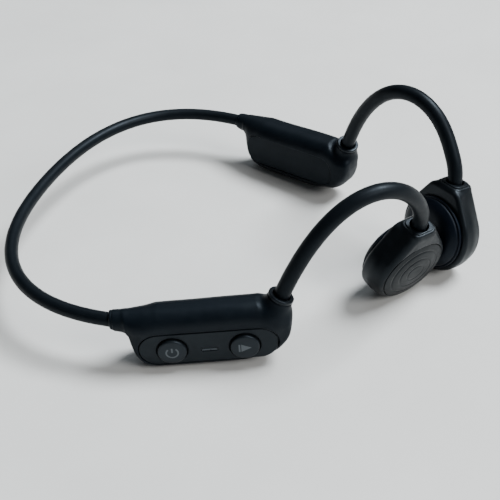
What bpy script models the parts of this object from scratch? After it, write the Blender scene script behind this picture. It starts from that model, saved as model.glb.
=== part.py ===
"""Bone conduction headphones: a wire neckband, two pods behind the ears and two transducers on ear hooks.

World axes: +X to the wearer's right, +Y forward, +Z up. The set lies on its pods and transducers at z = 0.
"""

import math

import bmesh
import bpy
import numpy as np
from mathutils import Matrix, Vector

MM = 0.001
GAP = 0.3 * MM
RIGHT, LEFT = 1, -1
SIDES = {RIGHT: "right", LEFT: "left"}

# Where the world origin sits, measured from the point halfway between the two rear collars.
ORIGIN = np.array([0.0, 24.6, 0.0]) * MM

# Neckband: half of a symmetric cubic curve, from the right collar to the middle of the back.
COLLAR_X = 68.2 * MM
COLLAR_Z = 17.9 * MM
BAND_SPLAY = math.radians(8.1)
BAND_START_PULL = 19.6 * MM
BAND_CORNER_X = 66.9 * MM
BAND_DEPTH = 58.1 * MM
BAND_RISE = 1.9 * MM
BAND_SAG = -0.65 * MM
BAND_RADIUS = 2.4 * MM
BAND_BORE = 1.55 * MM
BAND_IN_BOOT = 3.0 * MM
BAND_STATIONS = 38

# Wires inside the tubes.
WIRE_RADIUS = 0.55 * MM
LEAD_RADIUS = 0.45 * MM
WIRE_OFFSET = 0.75 * MM
LEAD_OFFSET = -0.8 * MM
WIRE_IN_DRIVER = 6.6 * MM
SHIFT_REFERENCE = np.array([0.15, 0.1, 1.0])

# Pods, each in its own frame: x outward, y forward from the collar, z up from the table.
POD_YAW = math.radians(20.15)
POD_PITCH = math.radians(2.0)
POD_FACE = 6.0 * MM
POD_HEIGHT = 21.0 * MM
POD_MIDDLE_Z = 10.4 * MM
SOCKET_Y = 56.0 * MM
SOCKET_Z = 26.7 * MM
BOSS_RADIUS = 4.35 * MM
BOSS_LENGTH = 12.0 * MM
BOSS_TOP = -2.8 * MM
CHANNEL_GAP = 0.2 * MM
CAVITY_OUT = 3.5 * MM
CAVITY_IN = -3.1 * MM

# Pod outline, all in mm: forward distance, bottom, top, half thickness, outward shift, then the radii of
# the upper outer, upper inner, lower inner and lower outer corners.
POD_STATIONS = (
    (5.5, 12.4, 21.6, 3.9, 0.9, 3.8, 3.8, 3.8, 3.8),
    (6.2, 8.0, 21.6, 4.4, 0.8, 3.8, 4.2, 3.6, 3.4),
    (7.8, 3.4, 21.6, 5.1, 0.6, 3.7, 4.8, 4.4, 3.4),
    (10.6, 0.6, 21.7, 5.7, 0.4, 3.5, 5.2, 4.9, 3.3),
    (15.5, -0.3, 22.0, 6.0, 0.1, 3.3, 5.4, 5.2, 3.3),
    (22.0, -0.4, 22.0, 6.0, 0.0, 3.3, 5.4, 5.2, 3.3),
    (42.0, 0.0, 22.4, 6.0, 0.0, 3.3, 5.4, 5.0, 3.1),
    (47.5, 1.2, 22.4, 6.0, 0.0, 3.5, 5.2, 4.8, 3.0),
    (50.8, 2.5, 21.7, 6.0, 0.0, 3.8, 5.0, 4.5, 2.9),
    (53.5, 4.6, 19.8, 5.9, 0.0, 3.9, 4.6, 4.2, 2.9),
    (55.8, 7.2, 18.8, 5.5, 0.0, 3.8, 4.1, 3.9, 3.1),
    (57.7, 9.8, 18.4, 4.8, 0.0, 3.5, 3.6, 3.5, 3.2),
    (58.7, 12.6, 18.0, 3.7, 0.0, 2.4, 2.4, 2.4, 2.4),
)

# Control side of the right pod.
PANEL_MIDDLE = (31.2 * MM, 8.5 * MM)
PANEL_LENGTH = 45.4 * MM
PANEL_HEIGHT = 12.4 * MM
PANEL_FLOOR = 4.7 * MM
WELL_RADIUS = 5.4 * MM
WELL_FLOOR = 4.3 * MM
BUTTON_RADIUS = 4.8 * MM
BUTTON_TOP = 7.2 * MM
POWER_Y = 19.2 * MM
PLAY_Y = 42.9 * MM
LIGHT_Y = 31.3 * MM
BUTTON_Z = 8.0 * MM
LIGHT_Z = 7.3 * MM
BUTTON_SKIRT = -1.0 * MM
STEM_RADIUS = 1.5 * MM
STEM_END = -3.1 * MM
SWITCH_TOP = 2.35 * MM
SLOT_SIZE = (5.6 * MM, 1.3 * MM)
GUIDE_SIZE = (5.0 * MM, 0.7 * MM)

# Inner cover of each pod.
COVER_MIDDLE_Y = 30.0 * MM
COVER_LENGTH = 43.0 * MM
COVER_HEIGHT = 12.8 * MM
COVER_RADIUS = 5.4 * MM
SEAL_LENGTH = 37.4 * MM
SEAL_HEIGHT = 11.6 * MM
WINDOW_LENGTH = 34.0 * MM
WINDOW_HEIGHT = 8.8 * MM
WINDOW_RADIUS = 3.4 * MM
COVER_OUT = -4.6 * MM
CONTACT_Z = 8.4 * MM
CONTACT_YS = {"rear": 20.0 * MM, "front": 25.0 * MM}
CONTACT_RADIUS = 1.1 * MM

# The boot behind each pod, in mm: forward distance, outward shift, height, half width and half height.
BOOT_STATIONS = (
    (-0.2, 0.0, 17.9, 3.0, 3.1),
    (3.0, 0.5, 17.7, 3.4, 3.8),
    (5.3, 0.9, 17.3, 3.8, 4.3),
)

# Boxed parts inside the pods, in mm: size outward, forward and up, then the middle.
RIGHT_BOXES = {
    "main_board": ((0.8, 28.4, 10.6), (-0.1, 31.0, 7.9), "board_green"),
    "radio_chip": ((0.9, 6.0, 6.0), (-1.25, 33.0, 8.0), "chip_black"),
    "status_led": ((0.6, 1.6, 0.8), (0.85, 31.3, 7.3), "led_white"),
}
LEFT_BOXES = {
    "battery_cell": ((4.6, 22.5, 12.0), (0.1, 31.5, 10.4), "cell_foil"),
    "battery_board": ((0.8, 3.0, 10.0), (0.1, 18.0, 10.4), "board_green"),
}
MICROPHONE_RADIUS = 1.7 * MM
MICROPHONE_MIDDLE = (26.0 * MM, 6.0 * MM)

# Ear hooks: a cubic curve in an upright plane, swept inward, then turned a little at the socket.
HOOK_RADIUS = 2.7 * MM
HOOK_BORE = 1.65 * MM
HOOK_START_ANGLE = math.radians(72.0)
HOOK_START_PULL = 51.8 * MM
HOOK_END = (42.7 * MM, 6.6 * MM)
HOOK_END_PULL = 25.6 * MM
HOOK_INWARD = 32.8 * MM
HOOK_INWARD_BEND = -0.6 * MM
HOOK_CUT = 0.84
HOOK_IN_POD = 5.5 * MM
HOOK_IN_DRIVER = 3.2 * MM
HOOK_STATIONS = 24
# Yaw, pitch and roll of each hook about its socket: the two springy wires never lie quite alike.
HOOK_TURN = {RIGHT: (10.5, -2.8, 5.4), LEFT: (-3.5, 4.2, -3.5)}

# Transducers: centre of the outer face (from the collar midpoint), toe-out and downward tilt of that face.
DRIVER_CENTRE = {
    RIGHT: (10.4 * MM, 89.1 * MM, 13.7 * MM),
    LEFT: (-20.3 * MM, 98.7 * MM, 14.19 * MM),
}
DRIVER_TOE = {RIGHT: math.radians(50.6), LEFT: math.radians(36.7)}
DRIVER_TILT = {RIGHT: math.radians(14.7), LEFT: math.radians(8.6)}
DRIVER_RADIUS = 14.1 * MM
DRIVER_DEPTH = 10.3 * MM
COLLAR_TOP = 19.2 * MM
COLLAR_MIDDLE = -4.8 * MM
CAVITY_RADIUS = 12.0 * MM
CAP_RADIUS = 12.5 * MM
CAP_SEAT_DEPTH = 3.2 * MM
LIP_SIZE = (9.6 * MM, 8.4 * MM)
LIP_CORNER = 2.4 * MM
LIP_THICKNESS = 0.9 * MM

# Transducer housing sections in mm: height, radius less the front one, then the half width, top and corner
# radius of the shoulders.
HOUSING_STATIONS = (
    (0.0, -0.9, 4.4, 17.2, 1.6),
    (-0.7, 0.0, 5.3, 18.2, 1.6),
    (-3.0, 0.5, 6.2, 18.4, 2.0),
    (-6.0, 1.2, 7.6, 18.4, 3.2),
    (-9.4, 1.2, 8.4, 18.0, 4.6),
    (-10.3, 0.4, 7.8, 16.6, 5.0),
)

# Turned pieces of the transducer, as (radius, height) in mm.
CAP_PROFILE = ((0, 0.75), (6.5, 0.6), (10.5, 0.2), (12.1, -0.15), (12.5, -0.5), (12.5, -1.3), (0, -1.3))
SPRING_PROFILE = ((3.0, -2.05), (11.6, -2.05), (11.6, -2.35), (3.0, -2.35))
YOKE_PROFILE = ((0, -2.9), (7.2, -2.9), (7.2, -8.0), (6.3, -8.0), (6.3, -3.9), (0, -3.9))
MAGNET_PROFILE = ((0, -4.2), (4.4, -4.2), (4.4, -7.6), (0, -7.6))
COIL_PROFILE = ((4.9, -5.6), (5.7, -5.6), (5.7, -11.3), (4.9, -11.3))
PLATE_PROFILE = ((0, -11.6), (7.7, -11.6), (8.1, -9.4), (8.9, -9.4), (8.4, -12.4), (0, -12.4))
PAD_PROFILE = (
    (0.0, -12.7),
    (9.2, -12.7),
    (9.2, -9.4),
    (11.7, -9.4),
    (11.7, -10.6),
    (14.2, -10.6),
    (14.2, -11.3),
    (13.5, -12.4),
    (12.1, -13.4),
    (10.3, -14.0),
    (8.6, -14.2),
    (0.0, -14.2),
)


# ---------------------------------------------------------------- scene helpers


def clear_scene():
    for obj in list(bpy.data.objects):
        bpy.data.objects.remove(obj, do_unlink=True)
    for group in list(bpy.data.collections):
        bpy.data.collections.remove(group)


def new_collection(name):
    group = bpy.data.collections.new(name)
    bpy.context.scene.collection.children.link(group)
    return group


def new_material(name, colour, roughness, metallic=0.0):
    material = bpy.data.materials.new(name)
    material.use_nodes = True
    shader = material.node_tree.nodes["Principled BSDF"]
    shader.inputs["Base Color"].default_value = (*colour, 1.0)
    shader.inputs["Roughness"].default_value = roughness
    shader.inputs["Metallic"].default_value = metallic
    return material


def new_frame(name, matrix):
    """An empty that holds the pieces of one sub-assembly."""
    frame = bpy.data.objects.new(name, None)
    PARTS.objects.link(frame)
    frame.matrix_world = matrix
    return frame


def place(obj, finish, frame=None, local=None):
    """Links a piece under its frame, with its finish."""
    PARTS.objects.link(obj)
    if finish:
        obj.data.materials.append(MATERIALS[finish])
    obj.parent = frame
    obj.matrix_basis = local or Matrix()
    return obj


def make_cutter(obj):
    """Keeps a shape out of the model, for use in a Boolean only."""
    PARTS.objects.unlink(obj)
    CUTTERS.objects.link(obj)
    obj.hide_render = True
    obj.display_type = "WIRE"
    return obj


def boolean(obj, other, operation="DIFFERENCE"):
    step = obj.modifiers.new(operation.title(), "BOOLEAN")
    step.operation = operation
    step.object = make_cutter(other) if other.name in PARTS.objects else other
    return obj


def smooth(mesh, angle=40):
    mesh.shade_smooth()
    mesh.set_sharp_from_angle(angle=math.radians(angle))


def solid(name, build, finish, frame=None, local=None):
    """A piece from a function that fills a bmesh."""
    work = bmesh.new()
    build(work)
    bmesh.ops.recalc_face_normals(work, faces=work.faces)
    mesh = bpy.data.meshes.new(name)
    work.to_mesh(mesh)
    work.free()
    smooth(mesh)
    return place(bpy.data.objects.new(name, mesh), finish, frame, local)


def loft(name, rings, finish, frame=None, local=None):
    """A closed body through rings of equal length, with flat ends."""

    def build(work):
        rows = [[work.verts.new(point) for point in ring] for ring in rings]
        for low, high in zip(rows, rows[1:]):
            for i in range(len(low)):
                j = (i + 1) % len(low)
                work.faces.new((low[i], low[j], high[j], high[i]))
        work.faces.new(rows[0])
        work.faces.new(rows[-1])

    return solid(name, build, finish, frame, local)


def box(name, size, finish, frame, middle):
    def build(work):
        bmesh.ops.create_cube(work, size=1.0)
        bmesh.ops.scale(work, vec=Vector(size), verts=work.verts)

    return solid(name, build, finish, frame, Matrix.Translation(middle))


def cylinder(name, radius, depth, finish, frame, local, sides=20):
    def build(work):
        bmesh.ops.create_cone(
            work, cap_ends=True, segments=sides, radius1=radius, radius2=radius, depth=depth
        )

    return solid(name, build, finish, frame, local)


def turned(name, profile, finish, frame, local, steps=24, closed=False):
    """A profile in (radius, height), running down its outer side, turned about local Z."""
    points = [(radius, 0.0, height) for radius, height in profile]
    edges = [(i, i + 1) for i in range(len(points) - 1)]
    if closed:
        edges.append((len(points) - 1, 0))
    mesh = bpy.data.meshes.new(name)
    mesh.from_pydata(points, edges, [])
    obj = place(bpy.data.objects.new(name, mesh), finish, frame, local)
    screw = obj.modifiers.new("Turn", "SCREW")
    screw.steps = steps
    screw.render_steps = steps
    screw.use_merge_vertices = True
    screw.merge_threshold = 0.00001
    screw.use_smooth_shade = True
    return obj


def baked(obj):
    """Replaces a curve or a modified object by the welded mesh it makes."""
    bpy.context.view_layer.update()
    graph = bpy.context.evaluated_depsgraph_get()
    mesh = bpy.data.meshes.new_from_object(obj.evaluated_get(graph))
    work = bmesh.new()
    work.from_mesh(mesh)
    bmesh.ops.remove_doubles(work, verts=work.verts, dist=0.000005)
    bmesh.ops.recalc_face_normals(work, faces=work.faces)
    work.to_mesh(mesh)
    work.free()
    smooth(mesh)
    name, frame, local = obj.name, obj.parent, obj.matrix_basis.copy()
    source = obj.data
    bpy.data.objects.remove(obj, do_unlink=True)
    bpy.data.batch_remove([source])
    mesh.name = name
    return place(bpy.data.objects.new(name, mesh), None, frame, local)


def plate(name, outlines, thickness, finish, frame, local):
    """A flat plate in local XY, centred on z = 0; outlines after the first are holes."""
    curve = bpy.data.curves.new(name, "CURVE")
    curve.dimensions = "2D"
    curve.fill_mode = "BOTH"
    curve.extrude = thickness / 2
    for outline in outlines:
        spline = curve.splines.new("POLY")
        spline.points.add(len(outline) - 1)
        for point, (x, y) in zip(spline.points, outline):
            point.co = (x, y, 0.0, 1.0)
        spline.use_cyclic_u = True
    obj = place(bpy.data.objects.new(name, curve), finish, frame, local)
    return baked(obj)


def tube(name, points, radius, finish, resolution=2):
    """A round wire or rod through world points."""
    curve = bpy.data.curves.new(name, "CURVE")
    curve.dimensions = "3D"
    curve.bevel_depth = radius
    curve.bevel_resolution = resolution
    curve.use_fill_caps = True
    spline = curve.splines.new("POLY")
    spline.points.add(len(points) - 1)
    for point, position in zip(spline.points, points):
        point.co = (*position, 1.0)
    return baked(place(bpy.data.objects.new(name, curve), finish))


# ---------------------------------------------------------------- outlines and paths


def rounded_rectangle(width, height, radius, steps=5, middle=(0.0, 0.0)):
    """Corners run anticlockwise from upper right; radius is one value or one for each of them."""
    radii = radius if isinstance(radius, tuple) else (radius,) * 4
    points = []
    for turn, radius in enumerate(radii):
        sign_x = (1, -1, -1, 1)[turn]
        sign_y = (1, 1, -1, -1)[turn]
        x = middle[0] + sign_x * (width / 2 - radius)
        y = middle[1] + sign_y * (height / 2 - radius)
        for i in range(steps + 1):
            angle = math.pi / 2 * (turn + i / steps)
            points.append((x + radius * math.cos(angle), y + radius * math.sin(angle)))
    return points


def circle(radius, steps=20, middle=(0.0, 0.0)):
    angles = [2 * math.pi * i / steps for i in range(steps)]
    return [(middle[0] + radius * math.cos(a), middle[1] + radius * math.sin(a)) for a in angles]


def hull_of_discs(discs, steps=40):
    """The outline round several discs (x, y, radius), always with the same number of points."""
    outline = []
    for i in range(steps):
        angle = 2 * math.pi * (i + 0.5) / steps
        way = Vector((math.cos(angle), math.sin(angle)))
        x, y, radius = max(discs, key=lambda disc: disc[0] * way.x + disc[1] * way.y + disc[2])
        outline.append((x + radius * way.x, y + radius * way.y))
    return outline


def bezier(corners, count, start=0.0, end=1.0):
    """Points on a cubic curve, in two or three dimensions."""
    t = np.linspace(start, end, count)[:, None]
    a, b, c, d = (np.array(corner, float) for corner in corners)
    return (1 - t) ** 3 * a + 3 * (1 - t) ** 2 * t * b + 3 * (1 - t) * t**2 * c + t**3 * d


def unit(vector):
    vector = np.array(vector, float)
    return vector / np.linalg.norm(vector)


def extended(points, before, after):
    """The path made longer by a straight run at each end."""
    start = points[0] + before * unit(points[0] - points[1])
    end = points[-1] + after * unit(points[-1] - points[-2])
    return np.concatenate([[start], points, [end]])


def resampled(points, count):
    """The same path with evenly spaced points."""
    steps = np.linalg.norm(np.diff(points, axis=0), axis=1)
    along = np.concatenate([[0.0], np.cumsum(steps)])
    wanted = np.linspace(0.0, along[-1], count)
    return np.stack([np.interp(wanted, along, points[:, i]) for i in range(3)], axis=1)


def shifted(points, offset):
    """The path moved sideways, in the direction that is square to it and nearest to upright."""
    ways = np.gradient(points, axis=0)
    ways /= np.linalg.norm(ways, axis=1)[:, None]
    across = np.cross(ways, SHIFT_REFERENCE)
    across /= np.linalg.norm(across, axis=1)[:, None]
    return points + offset * np.cross(across, ways)


def band_path():
    """Neckband centre line from the right collar round the back to the left collar, in world space."""
    pull = (math.sin(BAND_SPLAY) * BAND_START_PULL, -math.cos(BAND_SPLAY) * BAND_START_PULL)
    corners = (
        (COLLAR_X, 0.0),
        (COLLAR_X + pull[0], pull[1]),
        (BAND_CORNER_X, -BAND_DEPTH),
        (0.0, -BAND_DEPTH),
    )
    half = bezier(corners, 60)
    plan = np.concatenate([half, half[-2::-1] * (-1, 1)])
    back = -plan[:, 1] / BAND_DEPTH
    height = COLLAR_Z + BAND_RISE * back + BAND_SAG * back**2
    return np.column_stack([plan, height]) - ORIGIN


def turn_matrix(yaw, pitch, roll):
    degrees = [math.radians(angle) for angle in (yaw, pitch, roll)]
    turn = Matrix.Rotation(degrees[0], 3, "Z") @ Matrix.Rotation(degrees[1], 3, "X")
    return np.array(turn @ Matrix.Rotation(degrees[2], 3, "Y"))


def socket_point(side):
    pod = pod_matrix(side)
    forward = np.array(pod.col[1].xyz)
    plan = np.array((side * COLLAR_X, 0.0, 0.0)) - ORIGIN + SOCKET_Y * unit((*forward[:2], 0.0))
    return np.array((plan[0], plan[1], SOCKET_Z))


def hook_path(side):
    """Ear hook centre line from its pod socket to the mouth of its transducer, in world space."""
    start = HOOK_START_PULL * np.array((math.cos(HOOK_START_ANGLE), math.sin(HOOK_START_ANGLE)))
    corners = ((0.0, 0.0), start, (HOOK_END[0], HOOK_END[1] + HOOK_END_PULL), HOOK_END)
    flat = bezier(corners, 60, end=HOOK_CUT)
    t = np.linspace(0.0, HOOK_CUT, 60)
    inward = HOOK_INWARD * t + HOOK_INWARD_BEND * t**2
    points = np.column_stack([-inward, flat]) @ turn_matrix(*HOOK_TURN[side]).T
    points[:, 0] *= side
    points += socket_point(side)
    collar = driver_matrix(side)
    mouth = np.array(collar @ Vector((0.0, COLLAR_TOP, COLLAR_MIDDLE)))
    up = np.array(collar.col[1].xyz)
    reach = np.linalg.norm(mouth - points[-1]) / 3
    way = unit(points[-1] - points[-2])
    tail = bezier((points[-1], points[-1] + reach * way, mouth + reach * up, mouth), 14)
    return np.concatenate([points, tail[1:]])


def pod_matrix(side):
    """Pod frame: x along the right-hand direction, y forward, z up, origin under the collar."""
    corner = Vector((side * COLLAR_X, 0.0, 0.0)) - Vector(ORIGIN)
    lift = Matrix.Translation((0.0, 0.0, COLLAR_Z))
    pitch = lift @ Matrix.Rotation(POD_PITCH, 4, "X") @ lift.inverted()
    return Matrix.Translation(corner) @ Matrix.Rotation(side * POD_YAW, 4, "Z") @ pitch


def driver_matrix(side):
    """Transducer frame: z out of the outer face, y up towards the hook."""
    toe, tilt = DRIVER_TOE[side], DRIVER_TILT[side]
    level = math.cos(tilt)
    normal = Vector((side * level * math.cos(toe), level * math.sin(toe), -math.sin(tilt)))
    across = Vector((0.0, 0.0, 1.0)).cross(normal).normalized()
    up = normal.cross(across)
    frame = Matrix((across, up, normal)).transposed().to_4x4()
    frame.translation = Vector(DRIVER_CENTRE[side]) - Vector(ORIGIN)
    return frame


# ---------------------------------------------------------------- neckband and hooks


def in_pod(side, point):
    """World position of a point given as (outward, forward, up) in a pod's frame."""
    outward, forward, up = point
    return np.array(pod_matrix(side) @ Vector((side * outward, forward, up)))


def pod_end_of_band(side):
    """The neckband's core from inside a pod to the collar."""
    collar = in_pod(side, (0.0, 0.0, COLLAR_Z))
    way = unit((side * -math.sin(BAND_SPLAY), math.cos(BAND_SPLAY), 0.0))
    inner = in_pod(side, (0.6 * MM, 16.0 * MM, COLLAR_Z - 0.4 * MM))
    before = in_pod(side, (0.6 * MM, 11.0 * MM, COLLAR_Z - 0.2 * MM))
    return bezier((inner, before, collar + 5.5 * MM * way, collar), 12)


def hollow_tube(name, points, radius, bore, finish, resolution):
    """A tube with an open bore that runs right through it."""
    body = tube(name, points, radius, finish, resolution)
    boolean(body, tube(f"{name}_bore", extended(points, MM, MM), bore, None))


def build_neckband():
    band = band_path()
    sleeve = resampled(extended(band, BAND_IN_BOOT, BAND_IN_BOOT), BAND_STATIONS)
    hollow_tube("neckband_sleeve", sleeve, BAND_RADIUS, BAND_BORE, "soft_black", 4)
    right, left = pod_end_of_band(RIGHT), pod_end_of_band(LEFT)
    core = resampled(np.concatenate([right[:-1], band, left[-2::-1]]), BAND_STATIONS + 6)
    tube("neckband_spring_wire", shifted(core, WIRE_OFFSET), WIRE_RADIUS, "titanium")
    tube("neckband_lead", shifted(core, LEAD_OFFSET), LEAD_RADIUS, "copper")


def hook_core(side):
    """The wires' path: from inside the pod, through the hook, into the transducer."""
    path = hook_path(side)
    down = unit(path[0] - path[1])
    inner = in_pod(side, (0.2 * MM, 45.0 * MM, 15.4 * MM))
    before = in_pod(side, (0.2 * MM, 50.5 * MM, 15.0 * MM))
    root = bezier((inner, before, path[0] + 9.5 * MM * down, path[0] + 5.5 * MM * down), 8)
    return np.concatenate([root, extended(path, 0.1 * MM, WIRE_IN_DRIVER)])


def build_hook(side):
    name = SIDES[side]
    sleeve = resampled(extended(hook_path(side), HOOK_IN_POD, HOOK_IN_DRIVER), HOOK_STATIONS)
    hollow_tube(f"{name}_hook_sleeve", sleeve, HOOK_RADIUS, HOOK_BORE, "soft_black", 4)
    core = resampled(hook_core(side), 30)
    tube(f"{name}_hook_spring_wire", shifted(core, WIRE_OFFSET), WIRE_RADIUS, "titanium")
    tube(f"{name}_hook_lead", shifted(core, LEAD_OFFSET), LEAD_RADIUS, "copper")


# ---------------------------------------------------------------- pods


def pod_ring(station, side):
    """One cross-section of a pod, in its frame."""
    y, low, high, half, shift, *radii = (value * MM for value in station)
    outline = rounded_rectangle(2 * half, high - low, tuple(radii), 4, (shift, (low + high) / 2))
    return [(side * x, y, z) for x, z in outline]


def facing(side, outward, y, z):
    """Local frame of a flat piece: z along the pod's outward direction, x forward."""
    turn = Matrix(((0, 0, side), (1, 0, 0), (0, side, 0))).to_4x4()
    return Matrix.Translation((side * outward, y, z)) @ turn


def flat(name, side, outlines, low, high, finish, frame, middle=(0.0, 0.0)):
    """A plate square to the pod's outward direction, from low to high along it."""
    local = facing(side, (low + high) / 2, middle[0], middle[1])
    return plate(name, outlines, high - low, finish, frame, local)


def round_piece(name, side, radius, low, high, y, z, finish, frame, sides=20):
    local = facing(side, (low + high) / 2, y, z)
    return cylinder(name, radius, high - low, finish, frame, local, sides)


def cavity_cutter(name, side, frame):
    """The room inside a pod, with flat walls and round corners."""
    stations = (13.4, 14.8, 45.4, 46.8)
    inset = (2.4, 1.0, 1.0, 2.4)
    width = CAVITY_OUT - CAVITY_IN
    middle = ((CAVITY_OUT + CAVITY_IN) / 2, POD_MIDDLE_Z)
    rings = []
    for y, less in zip(stations, inset):
        height = POD_HEIGHT - 2 * (0.6 + less) * MM
        outline = rounded_rectangle(width, height, 2.2 * MM, 3, middle)
        rings.append([(side * x, y * MM, z) for x, z in outline])
    return loft(name, rings, None, frame)


def build_pod_housing(side, frame):
    """The main shell, with its socket for the hook and its open inner side."""
    name = f"{SIDES[side]}_pod_housing"
    rings = [pod_ring(station, side) for station in POD_STATIONS]
    housing = loft(name, rings, "soft_black", frame)
    path = hook_path(side)
    way = unit(path[1] - path[0])
    ends = [path[0] + way * height for height in (BOSS_TOP - BOSS_LENGTH, BOSS_TOP)]
    boss = tube(f"{name}_boss", ends, BOSS_RADIUS, None, 4)
    boolean(housing, boss, "UNION")
    boolean(housing, cavity_cutter(f"{name}_cavity", side, frame))
    bore = [path[0] - way * 6.0 * MM, path[0] + way * 4.0 * MM]
    boolean(housing, tube(f"{name}_bore", bore, HOOK_RADIUS + GAP, None, 4))
    for end, path, radius in (
        ("hook", resampled(hook_core(side)[:11], 9), HOOK_BORE),
        ("band", pod_end_of_band(side)[:-2], BAND_BORE),
    ):
        boolean(housing, tube(f"{name}_{end}_channel", path, radius + CHANNEL_GAP, None))
    middle = (COVER_MIDDLE_Y, POD_MIDDLE_Z)
    seat = rounded_rectangle(COVER_LENGTH + 2 * GAP, COVER_HEIGHT + 2 * GAP, COVER_RADIUS + GAP)
    boolean(housing, flat(f"{name}_seat", side, [seat], -8 * MM, -3.95 * MM, None, frame, middle))
    window = rounded_rectangle(WINDOW_LENGTH, WINDOW_HEIGHT, WINDOW_RADIUS)
    boolean(housing, flat(f"{name}_window", side, [window], -5 * MM, -2 * MM, None, frame, middle))


def build_cover(side, frame):
    """The inner cover, bonded in over its seal."""
    name = SIDES[side]
    middle = (COVER_MIDDLE_Y, POD_MIDDLE_Z)
    outline = rounded_rectangle(COVER_LENGTH, COVER_HEIGHT, COVER_RADIUS)
    flat(f"{name}_pod_cover", side, [outline], -POD_FACE, COVER_OUT, "soft_black", frame, middle)
    outer = rounded_rectangle(SEAL_LENGTH, SEAL_HEIGHT, COVER_RADIUS - 0.6 * MM)
    inner = rounded_rectangle(WINDOW_LENGTH + 2 * GAP, WINDOW_HEIGHT + 2 * GAP, WINDOW_RADIUS + GAP)
    flat(f"{name}_cover_seal", side, [outer, inner], -4.4 * MM, -4.1 * MM, "grey_rubber", frame, middle)


def build_boot(side, frame):
    """Strain relief between the neckband and the pod's rear neck."""
    name = f"{SIDES[side]}_band_boot"
    rings = []
    for y, x, z, across, high in BOOT_STATIONS:
        oval = [(x + across * u, z + high * v) for u, v in circle(1.0)]
        rings.append([(side * u * MM, y * MM, v * MM) for u, v in oval])
    boot = loft(name, rings, "soft_black", frame)
    band = band_path()
    start = band[0] if side == RIGHT else band[-1]
    way = unit(start - (band[1] if side == RIGHT else band[-2]))
    mouth = [start - way * 2 * MM, start + way * 3.4 * MM]
    boolean(boot, tube(f"{name}_mouth", mouth, BAND_RADIUS + 0.2 * MM, None, 4))
    channel = pod_end_of_band(side)[3:]
    boolean(boot, tube(f"{name}_channel", channel, BAND_BORE + CHANNEL_GAP, None))


def build_hook_ring(side):
    """The lip round the hook where it leaves the pod."""
    path = hook_path(side)
    way = Vector(unit(path[1] - path[0]))
    local = way.to_track_quat("Z", "Y").to_matrix().to_4x4()
    local.translation = Vector(path[0])
    bottom, top = -2.5, -1.3
    inner, outer = HOOK_RADIUS / MM + 0.4, 4.4
    profile = (
        (inner, top),
        (outer - 0.35, top),
        (outer, top - 0.35),
        (outer, bottom + 0.2),
        (outer - 0.2, bottom),
        (inner, bottom),
    )
    profile = [(radius * MM, height * MM) for radius, height in profile]
    turned(f"{SIDES[side]}_hook_ring", profile, "gloss_black", None, local, 24, closed=True)


def build_controls(frame):
    """Panel, buttons, light and their cut-outs on the outer side of the right pod."""
    housing = bpy.data.objects["right_pod_housing"]
    past = POD_FACE + MM
    inside = CAVITY_OUT - 0.5 * MM
    pocket = rounded_rectangle(PANEL_LENGTH + 2 * GAP, PANEL_HEIGHT + 2 * GAP, PANEL_HEIGHT / 2 + GAP, 6)
    cutter = flat("panel_pocket", RIGHT, [pocket], PANEL_FLOOR, past, None, frame, PANEL_MIDDLE)
    boolean(housing, cutter)
    outlines = [rounded_rectangle(PANEL_LENGTH, PANEL_HEIGHT, PANEL_HEIGHT / 2, 6)]
    for name, y in (("power", POWER_Y), ("play", PLAY_Y)):
        middle = (y - PANEL_MIDDLE[0], BUTTON_Z - PANEL_MIDDLE[1])
        outlines.append(circle(WELL_RADIUS, 24, middle))
        for hole, radius, low in (("well", WELL_RADIUS, WELL_FLOOR), ("hole", STEM_RADIUS + GAP, inside)):
            cutter = round_piece(f"{name}_{hole}", RIGHT, radius, low, past, y, BUTTON_Z, None, frame, 24)
            boolean(housing, cutter)
        build_button(name, y, frame)
    middle = (LIGHT_Y - PANEL_MIDDLE[0], LIGHT_Z - PANEL_MIDDLE[1])
    outlines.append(rounded_rectangle(*SLOT_SIZE, SLOT_SIZE[1] / 2.2, 3, middle))
    low = PANEL_FLOOR + 0.2 * MM
    flat("control_panel", RIGHT, outlines, low, POD_FACE, "satin_black", frame, PANEL_MIDDLE)
    middle = (LIGHT_Y, LIGHT_Z)
    opening = rounded_rectangle(*SLOT_SIZE, SLOT_SIZE[1] / 2.2, 3)
    boolean(housing, flat("light_slot", RIGHT, [opening], inside, past, None, frame, middle))
    guide = rounded_rectangle(*GUIDE_SIZE, GUIDE_SIZE[1] / 2.1, 3)
    top = POD_FACE - 0.1 * MM
    flat("light_guide", RIGHT, [guide], 1.5 * MM, top, "smoked_lens", frame, middle)


def build_button(name, y, frame):
    """A domed cap on a stem, with its origin on the axis it is pressed along."""
    top = BUTTON_TOP - POD_FACE
    radius, stem = BUTTON_RADIUS, STEM_RADIUS
    profile = (
        (0.0, top),
        (radius * 0.6, top - 0.1 * MM),
        (radius - 0.5 * MM, top - 0.3 * MM),
        (radius, top - 0.85 * MM),
        (radius, BUTTON_SKIRT),
        (stem, BUTTON_SKIRT),
        (stem, STEM_END),
        (0.0, STEM_END),
    )
    turned(f"{name}_button", profile, "satin_black", frame, facing(RIGHT, POD_FACE, y, BUTTON_Z), 24)
    low = SWITCH_TOP - 0.95 * MM
    title = f"{name}_switch"
    switch = round_piece(title, RIGHT, 0.9 * MM, low, SWITCH_TOP, y, BUTTON_Z, "steel", frame, 12)
    size = (1.0 * MM, 3.6 * MM, 3.6 * MM)
    middle = Vector((SWITCH_TOP - 1.25 * MM, y, BUTTON_Z))
    boolean(switch, box(f"{title}_base", size, None, frame, middle), "UNION")


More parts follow.
